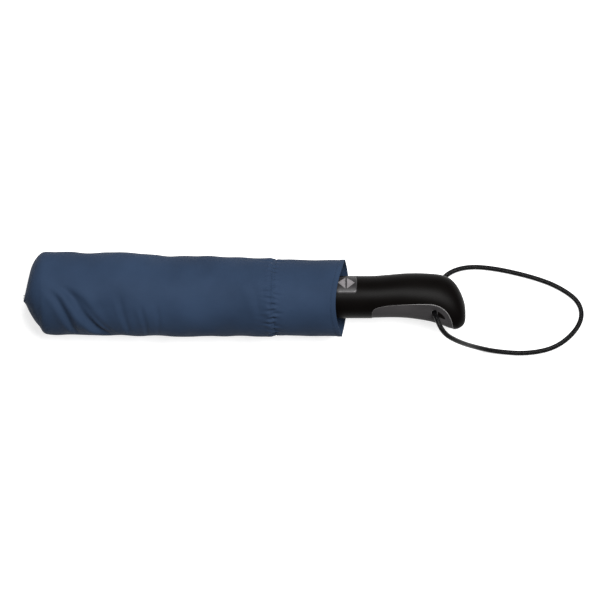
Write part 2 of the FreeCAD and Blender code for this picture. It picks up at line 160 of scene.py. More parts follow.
def woven(name, colour, thread, roughness=0.6, sheen=0.01, coordinates="UV"):
    """Plain-weave cloth: fine crossing threads, soft colour drift and a light sheen."""
    made, nodes, links, shader = material(name, colour, roughness, sheen=sheen, specular=0.02)
    shader.inputs["Sheen Roughness"].default_value = 0.4
    place = nodes.new("ShaderNodeTexCoord")
    heights = []
    for direction in ("X", "Y"):
        wave = nodes.new("ShaderNodeTexWave")
        wave.bands_direction = direction
        wave.inputs["Scale"].default_value = 0.314 / thread
        wave.inputs["Distortion"].default_value = 0.4
        wave.inputs["Detail"].default_value = 1.0
        links.new(place.outputs[coordinates], wave.inputs["Vector"])
        heights.append(wave)
    weave = nodes.new("ShaderNodeMath")
    weave.operation = "MAXIMUM"
    links.new(heights[0].outputs["Fac"], weave.inputs[0])
    links.new(heights[1].outputs["Fac"], weave.inputs[1])
    drift = textured(nodes, links, "ShaderNodeTexNoise", 28.0, Detail=3.0)
    tint = ramp(nodes, links, drift.outputs["Fac"], 0.3, 0.72, shade(colour, 0.86), shade(colour, 1.12))
    speck = ramp(nodes, links, weave.outputs["Value"], 0.2, 1.0, (0.82, 0.82, 0.82), (1.0, 1.0, 1.0))
    mix = nodes.new("ShaderNodeMix")
    mix.data_type = "RGBA"
    mix.blend_type = "MULTIPLY"
    mix.inputs["Factor"].default_value = 1.0
    links.new(tint.outputs["Color"], mix.inputs["A"])
    links.new(speck.outputs["Color"], mix.inputs["B"])
    links.new(mix.outputs["Result"], shader.inputs["Base Color"])
    crumple = textured(nodes, links, "ShaderNodeTexNoise", 160.0, Detail=5.0)
    soft = bump(nodes, links, shader, crumple.outputs["Fac"], 0.25, 0.0006)
    bump(nodes, links, shader, weave.outputs["Value"], 0.35, 0.00012, soft)
    return made


def moulded(name, colour, roughness, grain=900.0, depth=0.00004, specular=0.3, glow=0.0):
    """Moulded plastic or rubber with a fine grain and faint rubbed patches; glow lights it from within."""
    made, nodes, links, shader = material(name, colour, roughness, specular=specular)
    shader.inputs["Emission Color"].default_value = (1, 1, 1, 1)
    shader.inputs["Emission Strength"].default_value = glow
    patches = textured(nodes, links, "ShaderNodeTexNoise", 45.0, Detail=4.0)
    tint = ramp(nodes, links, patches.outputs["Fac"], 0.35, 0.75, colour, shade(colour, 1.35))
    links.new(tint.outputs["Color"], shader.inputs["Base Color"])
    rub = nodes.new("ShaderNodeMapRange")
    rub.inputs["To Min"].default_value = roughness - 0.05
    rub.inputs["To Max"].default_value = roughness + 0.08
    links.new(patches.outputs["Fac"], rub.inputs["Value"])
    links.new(rub.outputs["Result"], shader.inputs["Roughness"])
    pits = textured(nodes, links, "ShaderNodeTexNoise", grain, Detail=2.0)
    bump(nodes, links, shader, pits.outputs["Fac"], 0.5, depth)
    return made


def metal(name, colour, roughness, metallic=1.0, streak=True, specular=0.5):
    """Drawn or lacquered metal, with fine streaks along the shaft."""
    made, nodes, links, shader = material(name, colour, roughness, metallic, specular=specular)
    place = nodes.new("ShaderNodeTexCoord")
    stretch = nodes.new("ShaderNodeMapping")
    stretch.inputs["Scale"].default_value = (20, 1500, 1500) if streak else (400, 400, 400)
    links.new(place.outputs["Object"], stretch.inputs["Vector"])
    grain = nodes.new("ShaderNodeTexNoise")
    grain.inputs["Scale"].default_value = 1.0
    grain.inputs["Detail"].default_value = 3.0
    links.new(stretch.outputs["Vector"], grain.inputs["Vector"])
    tint = ramp(nodes, links, grain.outputs["Fac"], 0.3, 0.7, shade(colour, 0.85), shade(colour, 1.15))
    links.new(tint.outputs["Color"], shader.inputs["Base Color"])
    bump(nodes, links, shader, grain.outputs["Fac"], 0.2, 0.00003)
    return made


def braided(name, colour):
    """Tight black braid: two crossing diagonal waves round the cord."""
    made, nodes, links, shader = material(name, colour, 0.30, specular=0.09)
    place = nodes.new("ShaderNodeTexCoord")
    waves = []
    for lean in (0.8, -0.8):
        turn = nodes.new("ShaderNodeMapping")
        turn.inputs["Rotation"].default_value = (0, 0, lean)
        turn.inputs["Scale"].default_value = (1, 1, 1)
        links.new(place.outputs["Object"], turn.inputs["Vector"])
        wave = nodes.new("ShaderNodeTexWave")
        wave.inputs["Scale"].default_value = 420.0
        wave.inputs["Distortion"].default_value = 1.0
        links.new(turn.outputs["Vector"], wave.inputs["Vector"])
        waves.append(wave)
    cross = nodes.new("ShaderNodeMath")
    cross.operation = "MAXIMUM"
    links.new(waves[0].outputs["Fac"], cross.inputs[0])
    links.new(waves[1].outputs["Fac"], cross.inputs[1])
    tint = ramp(nodes, links, cross.outputs["Value"], 0.2, 1.0, shade(colour, 0.5), shade(colour, 1.8))
    links.new(tint.outputs["Color"], shader.inputs["Base Color"])
    bump(nodes, links, shader, cross.outputs["Value"], 0.5, 0.0003)
    return made


SHEATH_CLOTH = woven("sheath_cloth", (0.0172, 0.0296, 0.0560), 0.00045, 0.62)
CANOPY_CLOTH = woven("canopy_cloth", (0.0150, 0.0255, 0.0470), 0.0004, 0.6)
ELASTIC = woven("elastic_tape", (0.010, 0.016, 0.030), 0.0006, 0.7, 0.0, "Object")
THREAD = moulded("stitch_thread", (0.014, 0.025, 0.047), 0.6, 1500.0, 0.00002, 0.10)
HANDLE_BLACK = moulded("satin_black", (0.0016, 0.0013, 0.0012), 0.38, 1100.0, 0.00002, 0.026)
GRIP_GREY = moulded("soft_grip", (0.0265, 0.0250, 0.0260), 0.60, 1300.0, 0.00008, 0.06)
# light grey: a painted highlight for the shell's black rim round the insert, not the rim's own colour
LIP_HIGHLIGHT_GREY = moulded("painted_edge_highlight", (0.13, 0.126, 0.126), 0.3, 1100.0, 0.00001, 0.4)
BLACK_PLASTIC = moulded("moulded_black", (0.012, 0.012, 0.013), 0.42)
FIBREGLASS = moulded("fibreglass", (0.015, 0.015, 0.015), 0.35)
BUTTON_GREY = metal("button_plate", (0.014, 0.013, 0.014), 0.45, 0.2, False, 0.32)
# a lighter grey for one side of the button's bevel: a painted highlight, not the bevel's own colour
BUTTON_EDGE_HIGHLIGHT = metal("button_edge_painted_highlight", (0.040, 0.038, 0.039), 0.42, 0.3, False, 0.32)
BUTTON_LIGHT = metal("button_marks", (0.165, 0.155, 0.160), 0.38, 0.3, False, 0.32)
LACQUER = metal("black_lacquer", (0.02, 0.02, 0.022), 0.3, 0.3)
ZINC = metal("zinc_plate", (0.55, 0.55, 0.57), 0.32)
ALUMINIUM = metal("drawn_aluminium", (0.66, 0.67, 0.69), 0.35)
WIRE = metal("spring_wire", (0.42, 0.42, 0.44), 0.35)
BRAID = braided("cord_braid", (0.0012, 0.0012, 0.0014))


# ---- mesh helpers --------------------------------------------------------------------------------
def mesh_object(name, points, faces, skin, uvs=None):
    """A smooth-shaded mesh in the scene, with one uv for each point if any are given."""
    mesh = bpy.data.meshes.new(name)
    mesh.from_pydata([tuple(p) for p in points], [], faces)
    mesh.materials.append(skin)
    if uvs is not None:
        layer = mesh.uv_layers.new(name="UVMap")
        corners = np.zeros(len(mesh.loops), np.int32)
        mesh.loops.foreach_get("vertex_index", corners)
        layer.data.foreach_set("uv", np.asarray(uvs, np.float32)[corners].ravel())
    mesh.polygons.foreach_set("use_smooth", [True] * len(mesh.polygons))
    made = bpy.data.objects.new(name, mesh)
    bpy.context.scene.collection.objects.link(made)
    return made


def grid_faces(rows, columns, closed):
    """Quads over a grid of points, row by row, whose rows may close on themselves."""
    faces = []
    for i in range(rows - 1):
        for j in range(columns if closed else columns - 1):
            k = (j + 1) % columns
            faces.append((i * columns + j, (i + 1) * columns + j, (i + 1) * columns + k, i * columns + k))
    return faces


def smoothstep(value):
    """0 below 0 and 1 above 1, with a smooth rise between."""
    value = np.clip(value, 0.0, 1.0)
    return value * value * (3 - 2 * value)


def bell(value, centre, width):
    """A bump of height 1 round the centre."""
    return np.exp(-((value - centre) / width) ** 2)


def flow(at, stations):
    """A smooth curve through the stations' columns; at counts stations from 0."""
    table = np.asarray(stations, float)
    at = np.clip(np.asarray(at, float), 0, len(table) - 1)
    low = np.minimum(at.astype(int), len(table) - 2)
    t = (at - low)[..., None]
    before = table[np.maximum(low - 1, 0)]
    start, end = table[low], table[low + 1]
    after = table[np.minimum(low + 2, len(table) - 1)]
    leave = (end - before) / 2
    arrive = (after - start) / 2
    cube, square = t ** 3, t ** 2
    return ((2 * cube - 3 * square + 1) * start + (cube - 2 * square + t) * leave
            + (3 * square - 2 * cube) * end + (cube - square) * arrive)


# ---- sheath --------------------------------------------------------------------------------------
ELASTIC_LOW, ELASTIC_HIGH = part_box("sheath_elastic")
GATHER_X = (ELASTIC_LOW.x + ELASTIC_HIGH.x) / 2
GATHER_LEAN = 0.0022     # how far the gather leans to each side of its middle
MOUTH_X = SHEATH_HIGH.x - 0.0017
MOUTH_NEAR = 0.0052      # how far the open edge draws back at its top
MOUTH_FAR = 0.0034       # how far it stands forward at its bottom
HEM = 0.0034             # width of the hem
CLOSED_END = 7.0         # the sheath's closed end takes up this many stations of its sections,
CLOSED_SHARE = 0.14      # and this share of its mesh's rows
THREAD_R = 0.00016       # the sewing thread's radius
STITCH = 0.62            # a stitch's share of its pitch, the rest is the gap to the next
FLAT_R = 0.026           # the sheath's mean radius, which lays its weave out flat
# x, then the outline's +Y and -Y edges seen from above, then its top and bottom seen from the side, in mm
SHEATH_SECTIONS = [
    (-142.4, -1.4, -3.2, 34.0, 14.0),
    (-141.1, 4.6, -5.0, 38.5, 9.5),
    (-139.5, 12.0, -8.4, 42.2, 6.3),
    (-137.6, 19.4, -11.9, 45.2, 4.0),
    (-135.2, 24.2, -15.6, 47.4, 2.4),
    (-132.2, 27.7, -19.2, 49.0, 1.4),
    (-129.0, 29.2, -23.3, 50.1, 0.7),
    (-122.0, 29.1, -24.1, 50.6, 0.4),
    (-112.0, 28.6, -24.3, 50.8, 0.3),
    (-101.0, 28.1, -24.4, 51.0, 0.3),
    (-89.5, 29.3, -24.6, 51.3, 0.3),
    (-79.0, 29.1, -24.9, 51.3, 0.3),
    (-69.0, 28.6, -25.5, 51.0, 0.3),
    (-52.0, 26.5, -25.2, 50.7, 0.3),
    (-40.0, 26.7, -25.2, 50.6, 0.3),
    (-29.0, 26.2, -25.1, 50.4, 0.3),
    (-16.0, 25.9, -25.3, 50.2, 0.3),
    (-3.0, 25.7, -25.3, 50.2, 0.3),
    (8.0, 25.7, -25.5, 50.3, 0.3),
    (15.0, 25.6, -25.4, 50.4, 0.3),
    (19.6, 24.7, -25.1, 49.5, 0.3),
    (24.0, 24.4, -25.1, 49.3, 0.3),
    (35.0, 24.1, -25.1, 49.2, 0.3),
    (48.0, 23.8, -25.1, 49.2, 0.3),
    (60.0, 24.0, -25.1, 49.4, 0.3),
    (70.0, 24.1, -25.1, 49.4, 0.3),
]
# where a fold starts and how it runs: x and angle at its top, x gained per radian, depth and width
SHEATH_FOLDS = [
    (-0.1225, 0.00, 0.0125, 0.0012, 0.0029, 1.00),
    (-0.1150, 0.12, 0.0185, 0.0021, 0.0041, 1.20),
    (-0.1060, -0.10, 0.0200, 0.0006, 0.0026, 0.90),
    (-0.0930, -0.22, 0.0060, 0.0010, 0.0075, 0.95),
    (-0.0790, -0.10, 0.0040, 0.0005, 0.0022, 0.90),
    (-0.0660, -0.30, 0.0030, 0.0006, 0.0016, 0.90),
    (-0.0570, -0.25, 0.0020, 0.0004, 0.0016, 0.90),
    (0.0040, 0.35, 0.0060, 0.0005, 0.0030, 0.60),
]


def mouth_edge(angle):
    """x of the sheath's open edge; angle is 0 at the top and grows towards +Y."""
    share = np.cos(angle) ** 2
    lean = np.where(np.cos(angle) > 0, MOUTH_NEAR * share, -MOUTH_FAR * share)
    return MOUTH_X - lean + 0.0012 * np.sin(angle) + 0.0002 * np.sin(3 * angle + 0.5)


def gather_line(angle):
    """x of the elastic's seam, which leans as the mouth does."""
    return GATHER_X + 0.0008 - GATHER_LEAN * np.cos(angle)


def sheath_swell(x, angle):
    """How far the cloth stands out of its plain sections: folds, soft waves, the gather and the hem."""
    signed = (angle + math.pi) % (2 * math.pi) - math.pi
    body = smoothstep((x + 0.139) / 0.02)
    calm = 1 - 0.55 * smoothstep((x - GATHER_X - 0.004) / 0.01)
    swell = 0.00030 * np.sin(74 * x + 2 * angle + 0.6) + 0.00022 * np.sin(131 * x - 3 * angle + 2.0)
    swell = swell + 0.00016 * np.sin(232 * x + 5 * angle) + 0.00010 * np.sin(340 * x - 7 * angle + 1.0)
    swell = swell * body * calm
    for start, top, run, depth, width, reach in SHEATH_FOLDS:
        down = top - signed
        across = x - start - run * down - 0.0010 * np.sin(3.0 * down + 100 * start)
        window = smoothstep((down + 0.15) / 0.35) * smoothstep((reach + 0.45 - down) / 0.5)
        narrow = width * (1 - 0.3 * np.clip(down, 0, 1))
        valley = bell(across, 0.0, narrow) - 0.55 * bell(across, -1.9 * narrow, 1.2 * narrow)
        swell -= depth * window * (valley - 0.35 * bell(across, 2.0 * narrow, 1.3 * narrow))
    off = x - gather_line(angle)
    sway = 1.3 * np.sin(5 * angle + 0.7) + 0.8 * np.sin(9 * angle)
    pleats = np.sin(34 * angle + sway + 260 * off) + 0.6 * np.sin(47 * angle - 1.4 * sway - 330 * off)
    reach = np.where(off < 0, 0.0052 + 0.0014 * np.sin(7 * angle), 0.0034 + 0.0010 * np.sin(11 * angle))
    front = 0.5 + 0.5 * np.cos(angle)
    swell += (0.00014 + 0.00030 * front) * pleats * np.exp(-np.abs(off / reach) ** 1.6)
    swell -= (0.00045 + 0.00010 * np.sin(angle)) * bell(off, 0.0, 0.0011)
    swell += 0.00060 * front * bell(off, -0.0030, 0.0022)
    swell -= 0.00045 * front * (0.5 - 0.5 * np.sin(angle)) * bell(off, 0.0018, 0.0026)
    edge = mouth_edge(angle)
    swell += 0.00022 * smoothstep((x - edge + HEM + 0.0002) / 0.0005) - 0.00022 * bell(x, edge - HEM, 0.0004)
    return swell


def sheath_surface(station, angle):
    """Points of the sheath's outside at a station along it and an angle round it."""
    x, left, right, top, bottom = (flow(station, SHEATH_SECTIONS) / 1000).T
    middle, half = (left + right) / 2, (left - right) / 2
    level, rise = (top + bottom) / 2, (top - bottom) / 2
    swell = sheath_swell(x, angle)
    y = middle + (half + swell) * np.sin(angle)
    z = level + (rise + swell) * np.cos(angle)
    floor = 0.0004 + 0.0003 * (1 + np.sin(60 * x + 2 * angle))
    return x, y, np.maximum(z, floor)


def station_of(x):
    """The station at x, the other way round from flow."""
    stations = np.linspace(0, len(SHEATH_SECTIONS) - 1, 1600)
    return np.interp(x, flow(stations, SHEATH_SECTIONS)[:, 0] / 1000, stations)


def make_sheath():
    """The sheath's cloth, from its closed end to its mouth, which leans."""
    rows, columns = 330, 300
    angle = np.linspace(0, 2 * math.pi, columns, endpoint=False)
    mouth = station_of(mouth_edge(angle))
    points = []
    uvs = []
    for step in np.linspace(0, 1, rows):
        if step < CLOSED_SHARE:
            station = np.full(columns, CLOSED_END * smoothstep(step / CLOSED_SHARE))
        else:
            station = CLOSED_END + (mouth - CLOSED_END) * (step - CLOSED_SHARE) / (1 - CLOSED_SHARE)
        x, y, z = sheath_surface(station, angle)
        points.extend(zip(x, y, z))
        uvs.extend(zip(angle * FLAT_R, x))
    faces = grid_faces(rows, columns, True)
    faces.append(tuple(range(columns)))
    made = mesh_object("sheath_cloth", points, faces, SHEATH_CLOTH, uvs)
    thicken = made.modifiers.new("cloth", "SOLIDIFY")
    thicken.thickness = 0.0006
    thicken.offset = -1
    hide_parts("sheath")
    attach(made, "sheath")
    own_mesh(made)


def make_stitches():
    """Short threads along the gather, in two rows, and along the hem."""
    rows = []
    for shift in (-0.0009, 0.0009):
        rows.append((lambda a, shift=shift: gather_line(a) + shift, 74))
    rows.append((lambda a: mouth_edge(a) - HEM, 70))
    ring = np.linspace(0, 2 * math.pi, 6, endpoint=False)
    points = []
    faces = []
    for line, count in rows:
        for number in range(count):
            start = 2 * math.pi * number / count
            for piece, share in enumerate(np.linspace(0.0, STITCH, 5)):
                turn = start + 2 * math.pi / count * share
                x, y, z = (v[0] for v in sheath_surface(station_of(np.array([line(turn)])), np.array([turn])))
                lift = 0.00005 + 0.00010 * math.sin(math.pi * share / STITCH)
                size = THREAD_R * (1.0 if 0 < share < STITCH else 0.55)
                out = Vector((0, math.sin(turn), math.cos(turn)))
                for corner in ring:
                    place = Vector((x, y, z)) + out * (lift + size * math.sin(corner))
                    points.append(place + Vector((size * math.cos(corner), 0, 0)))
                if piece:
                    base = len(points) - 12
                    for k in range(6):
                        after = (k + 1) % 6
                        faces.append((base + k, base + after, base + 6 + after, base + 6 + k))
            faces.append(tuple(range(len(points) - 30, len(points) - 24)))
            faces.append(tuple(range(len(points) - 1, len(points) - 7, -1)))
    made = mesh_object("sheath_stitches", points, faces, THREAD)
    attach(made, "sheath")
    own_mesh(made)


def make_elastic():
    """The elastic band sewn inside the gather, ribbed along its length."""
    columns = 240
    angle = np.linspace(0, 2 * math.pi, columns, endpoint=False)
    radius = BUNDLE_HIGH.z - AXIS_Z + 0.0002
    rows = [(0.0, 0.0), (0.02, 0.00008), (0.98, 0.00008), (1.0, 0.0), (0.98, -0.00018), (0.02, -0.00018)]
    points = []
    for share, lift in rows + rows[:1]:
        for turn in angle:
            r = radius - 0.0003 + lift + 0.00003 * math.sin(60 * turn)
            x = ELASTIC_LOW.x + (ELASTIC_HIGH.x - ELASTIC_LOW.x) * share
            points.append((x, r * math.sin(turn), AXIS_Z + r * math.cos(turn)))
    made = mesh_object("elastic_band", points, grid_faces(len(rows) + 1, columns, True), ELASTIC)
    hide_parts("sheath_elastic")
    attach(made, "sheath")
    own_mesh(made)


# ---- handle --------------------------------------------------------------------------------------
# x, then the middle, half width and half height of the section there, in mm
HANDLE_SECTIONS = [
    (52.0, 0.0, 13.7, 13.7),
    (63.0, 0.0, 13.7, 13.7),
    (74.0, 0.0, 13.7, 13.7),
    (84.0, 0.05, 13.75, 13.7),
    (95.0, 0.6, 14.1, 13.7),
    (104.0, 0.8, 14.6, 13.7),
    (113.0, 0.3, 15.2, 13.4),
    (120.5, -0.6, 15.7, 13.1),
    (127.0, -2.0, 16.3, 12.7),
    (132.5, -4.2, 16.2, 11.9),
    (136.5, -6.3, 14.4, 10.7),
    (139.5, -8.3, 11.2, 8.8),
    (141.5, -10.0, 7.6, 6.2),
    (142.4, -11.0, 4.2, 3.6),
    (142.6, -11.3, 0.4, 0.3),
]
# x and y of the line between shell and insert, in mm
INSERT_BORDER = [
    (82.1, -16.5),
    (82.1, -13.0),
    (82.3, -9.5),
    (84.2, -7.6),
    (90.0, -6.1),
    (100.0, -5.2),
    (116.0, -4.8),
    (124.0, -5.8),
    (129.3, -9.0),
    (132.5, -13.6),
    (134.4, -19.6),
    (135.2, -24.0),
]
CORD_HOLE = (0.1222, -0.0103, 0.0021)     # x, y and radius
INSERT_SKIN = 0.0018


def handle_points(inset, recess):
    """A closed smooth skin of the handle; recess pushes it in by a depth that depends on x and y."""
    rows, columns = 200, 128
    at = np.linspace(0, len(HANDLE_SECTIONS) - 1, rows)
    angle = np.linspace(0, 2 * math.pi, columns, endpoint=False)
    x, middle, half_y, half_z = (flow(at, HANDLE_SECTIONS) / 1000).T
    points = []
    for place, centre, wide, high in zip(x - inset * 0.5 * (x > 0.125), middle, half_y, half_z):
        y = centre + np.maximum(wide - inset, 0.0002) * np.sin(angle)
        z = np.maximum(high - inset, 0.0002) * np.cos(angle)
        depth = recess(np.full(columns, place), y)
        reach = np.maximum(np.hypot(y - centre, z), 1e-6)
        shrink = np.maximum(1 - depth / reach, 0.05)
        points.extend(zip(np.full(columns, place), centre + (y - centre) * shrink, AXIS_Z + z * shrink))
    faces = grid_faces(rows, columns, True)
    faces.append(tuple(range(columns)))
    faces.append(tuple(range(rows * columns - 1, (rows - 1) * columns - 1, -1)))
    return points, faces


def no_recess(x, _):
    return np.zeros_like(x)


def border_line(count):
    """The insert's border seen from above, in metres."""
    return flow(np.linspace(0, len(INSERT_BORDER) - 1, count), INSERT_BORDER) / 1000


def insert_recess(x, y):
    """The insert lies a little below the shell, and its surface hollows out towards the beak."""
    line = border_line(160)
    x_all, middle, half_y, _ = (flow(np.linspace(0, 14, 600), HANDLE_SECTIONS) / 1000).T
    above_edge = y - np.interp(x, x_all, middle - half_y)
    gap = np.min(np.hypot(x[:, None] - line[:, 0], y[:, None] - line[:, 1]), axis=1)
    beakward = smoothstep((x - 0.100) / 0.024)
    hollow = 0.0014 * beakward * smoothstep(gap / 0.0045) * smoothstep(above_edge / 0.004)
    return 0.00022 + 0.0002 * smoothstep(gap / 0.0015) + hollow


def block_faces(count):
    """Sides and ends of a block whose two outlines have count points each."""
    sides = [(k, (k + 1) % count, count + (k + 1) % count, count + k) for k in range(count)]
    return sides + [tuple(range(count - 1, -1, -1)), tuple(range(count, 2 * count))]


def prism(name, outline, low, high):
    """A closed block over an outline, used only to cut."""
    points = [(p[0], p[1], low) for p in outline] + [(p[0], p[1], high) for p in outline]
    return mesh_object(name, points, block_faces(len(outline)), HANDLE_BLACK)


def cylinder(name, start, end, radius, sides=64):
    """A closed cylinder between two points, used only to cut."""
    start, end = Vector(start), Vector(end)
    turn = (end - start).to_track_quat("Z", "Y").to_matrix()
    circle = [turn @ Vector((radius * math.cos(a), radius * math.sin(a), 0))
              for a in np.linspace(0, 2 * math.pi, sides, endpoint=False)]
    points = [start + p for p in circle] + [end + p for p in circle]
    return mesh_object(name, points, block_faces(sides), HANDLE_BLACK)


def carve(piece, tool, operation="DIFFERENCE"):
    """A boolean, applied at once; the tool is thrown away."""
    cut = piece.modifiers.new("cut", "BOOLEAN")
    cut.operation = operation
    cut.solver = "EXACT"
    cut.object = tool
    bpy.context.view_layer.update()
    result = bpy.data.meshes.new_from_object(piece.evaluated_get(bpy.context.evaluated_depsgraph_get()))
    piece.modifiers.clear()
    work = bmesh.new()
    work.from_mesh(result)
    bmesh.ops.recalc_face_normals(work, faces=work.faces)
    work.to_mesh(result)
    work.free()
    old = piece.data
    piece.data = result
    bpy.data.meshes.remove(old)
    bpy.data.objects.remove(tool)


def smooth_by_angle(piece, degrees):
    """Smooth shading, with sharp edges kept where faces meet at more than the angle."""
    piece.data.polygons.foreach_set("use_smooth", [True] * len(piece.data.polygons))
    piece.data.set_sharp_from_angle(angle=math.radians(degrees))


def insert_side(grow):
    """Everything on the insert's side of its border, as an outline seen from above."""
    line = [(p[0], p[1]) for p in border_line(120)]
    low = [(line[-1][0], -0.045), (line[0][0], -0.045)]
    middle = (0.110, -0.016)
    if grow:
        line = [(x + grow * (x - middle[0]) / 0.02, y + grow) for x, y in line]
    return (line + low)[::-1]


def cord_hole():
    """The tool that drills the cord's hole through the beak."""
    x, y, radius = CORD_HOLE
    return cylinder("hole", (x, y, -0.01), (x, y, 0.06), radius)


def rounded_outline(low_x, high_x, half, corner, count=9, side=10):
    """A rectangle with round corners, in x and t, with points along its sides too."""
    arcs = []
    centres = ((high_x - corner, half - corner, 0), (low_x + corner, half - corner, 90),
               (low_x + corner, corner - half, 180), (high_x - corner, corner - half, 270))
    for x, t, first in centres:
        turns = [math.radians(first + 90 * step / (count - 1)) for step in range(count)]
        arcs.append([(x + corner * math.cos(turn), t + corner * math.sin(turn)) for turn in turns])
    outline = []
    for arc, after in zip(arcs, arcs[1:] + arcs[:1]):
        start, end = Vector(arc[-1]), Vector(after[0])
        outline += arc + [tuple(start.lerp(end, step / side)) for step in range(1, side)]
    return outline


BUTTON_LOW, BUTTON_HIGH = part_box("push_button")
BUTTON_OUT = -Vector(JOINTS["button_push"]["axis"])
BUTTON_SIDE = Vector((1, 0, 0)).cross(BUTTON_OUT)
BUTTON_HALF = 0.0070     # half the button's width across the handle
BUTTON_R = 0.0143        # its curved face, from the shaft's axis
BUTTON_FOOT = 0.0106     # the lowest height of its sides
HIGHLIGHT_FROM = 0.0052       # the bevel takes a lighter material, a painted highlight, on the side that lies further out than this
POCKET_GAP = 0.0003      # the opening's clearance all round it


def at_button(x, t, h):
    """A place given by x, the distance t across the button and the height h over the shaft's axis."""
    return Vector((x, 0, AXIS_Z)) + BUTTON_SIDE * t + BUTTON_OUT * h


def over_button(points, faces, name, skin):
    """A mesh whose points are given as at_button takes them."""
    return mesh_object(name, [at_button(*p) for p in points], faces, skin)


def button_pocket():
    """The block that cuts the button's opening into the shell, a little larger than the button."""
    low_x, high_x = BUTTON_LOW.x - POCKET_GAP, BUTTON_HIGH.x + POCKET_GAP
    outline = rounded_outline(low_x, high_x, BUTTON_HALF + POCKET_GAP, 0.0022)
    points = [(x, t, 0.0090) for x, t in outline] + [(x, t, 0.0170) for x, t in outline]
    return over_button(points, block_faces(len(outline)), "pocket", HANDLE_BLACK)


def add_lip(piece):
    """The shell's rim round the insert: a fine bead in light grey, a painted highlight where the edge catches the
    light, wider towards the beak.
    """
    line = border_line(200)
    x_all, middle, half_y, half_z = (flow(np.linspace(0, 14, 600), HANDLE_SECTIONS) / 1000).T
    ring = np.linspace(0, 2 * math.pi, 8, endpoint=False)
    points = []
    for x, y in line:
        wide, high, centre = (np.interp(x, x_all, column) for column in (half_y, half_z, middle))
        side = (y - centre) / wide
        if side < -0.985:
            continue
        z = high * math.sqrt(1 - side * side)
        # the bead, and with it its painted highlight, grows wider towards the beak
        size = 0.00006 + 0.00013 * smoothstep((x - 0.096) / 0.022)
        for corner in ring:
            points.append((x + size * math.cos(corner) * 0.6, y + size * math.cos(corner),
                           AXIS_Z + z + size * math.sin(corner) - 0.00004))
    rows = len(points) // 8
    top = mesh_object("lip_top", points, grid_faces(rows, 8, True), LIP_HIGHLIGHT_GREY)
    lower = [(x, y, 2 * AXIS_Z - z) for x, y, z in points]
    bottom = mesh_object("lip_bottom", lower, grid_faces(rows, 8, True), LIP_HIGHLIGHT_GREY)
    join(piece, top, bottom)


def join(piece, *others):
    """Puts the other meshes into the piece, with their materials."""
    with bpy.context.temp_override(active_object=piece, object=piece, selected_objects=[piece, *others],
                                   selected_editable_objects=[piece, *others]):
        bpy.ops.object.join()


def make_handle():
    """The shell, cut back to a core under the insert, and the insert in the room that this leaves."""
    points, faces = handle_points(0, no_recess)
    shell = mesh_object("handle_cover", points, faces, HANDLE_BLACK)
    carve(shell, prism("side", insert_side(0.00005), -0.01, 0.06))
    points, faces = handle_points(INSERT_SKIN, no_recess)
    carve(shell, mesh_object("core", points, faces, HANDLE_BLACK), "UNION")
    tube_low, tube_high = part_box("lower_tube")
    bore = (tube_high.z - tube_low.z) / 2
    carve(shell, cylinder("bore", (0.0, 0, AXIS_Z), (tube_high.x, 0, AXIS_Z), bore))
    carve(shell, button_pocket())
    carve(shell, cord_hole())
    smooth_by_angle(shell, 32)
    add_lip(shell)
    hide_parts("handle_shell")
    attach(shell, "handle")

    points, faces = handle_points(0, insert_recess)
    insert = mesh_object("grip_pad", points, faces, GRIP_GREY)
    carve(insert, prism("side", insert_side(0), -0.01, 0.06), "INTERSECT")
    points, faces = handle_points(INSERT_SKIN, no_recess)
    carve(insert, mesh_object("core", points, faces, GRIP_GREY))
    carve(insert, cord_hole())
    smooth_by_angle(insert, 40)
    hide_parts("grip_insert")
    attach(insert, "handle")


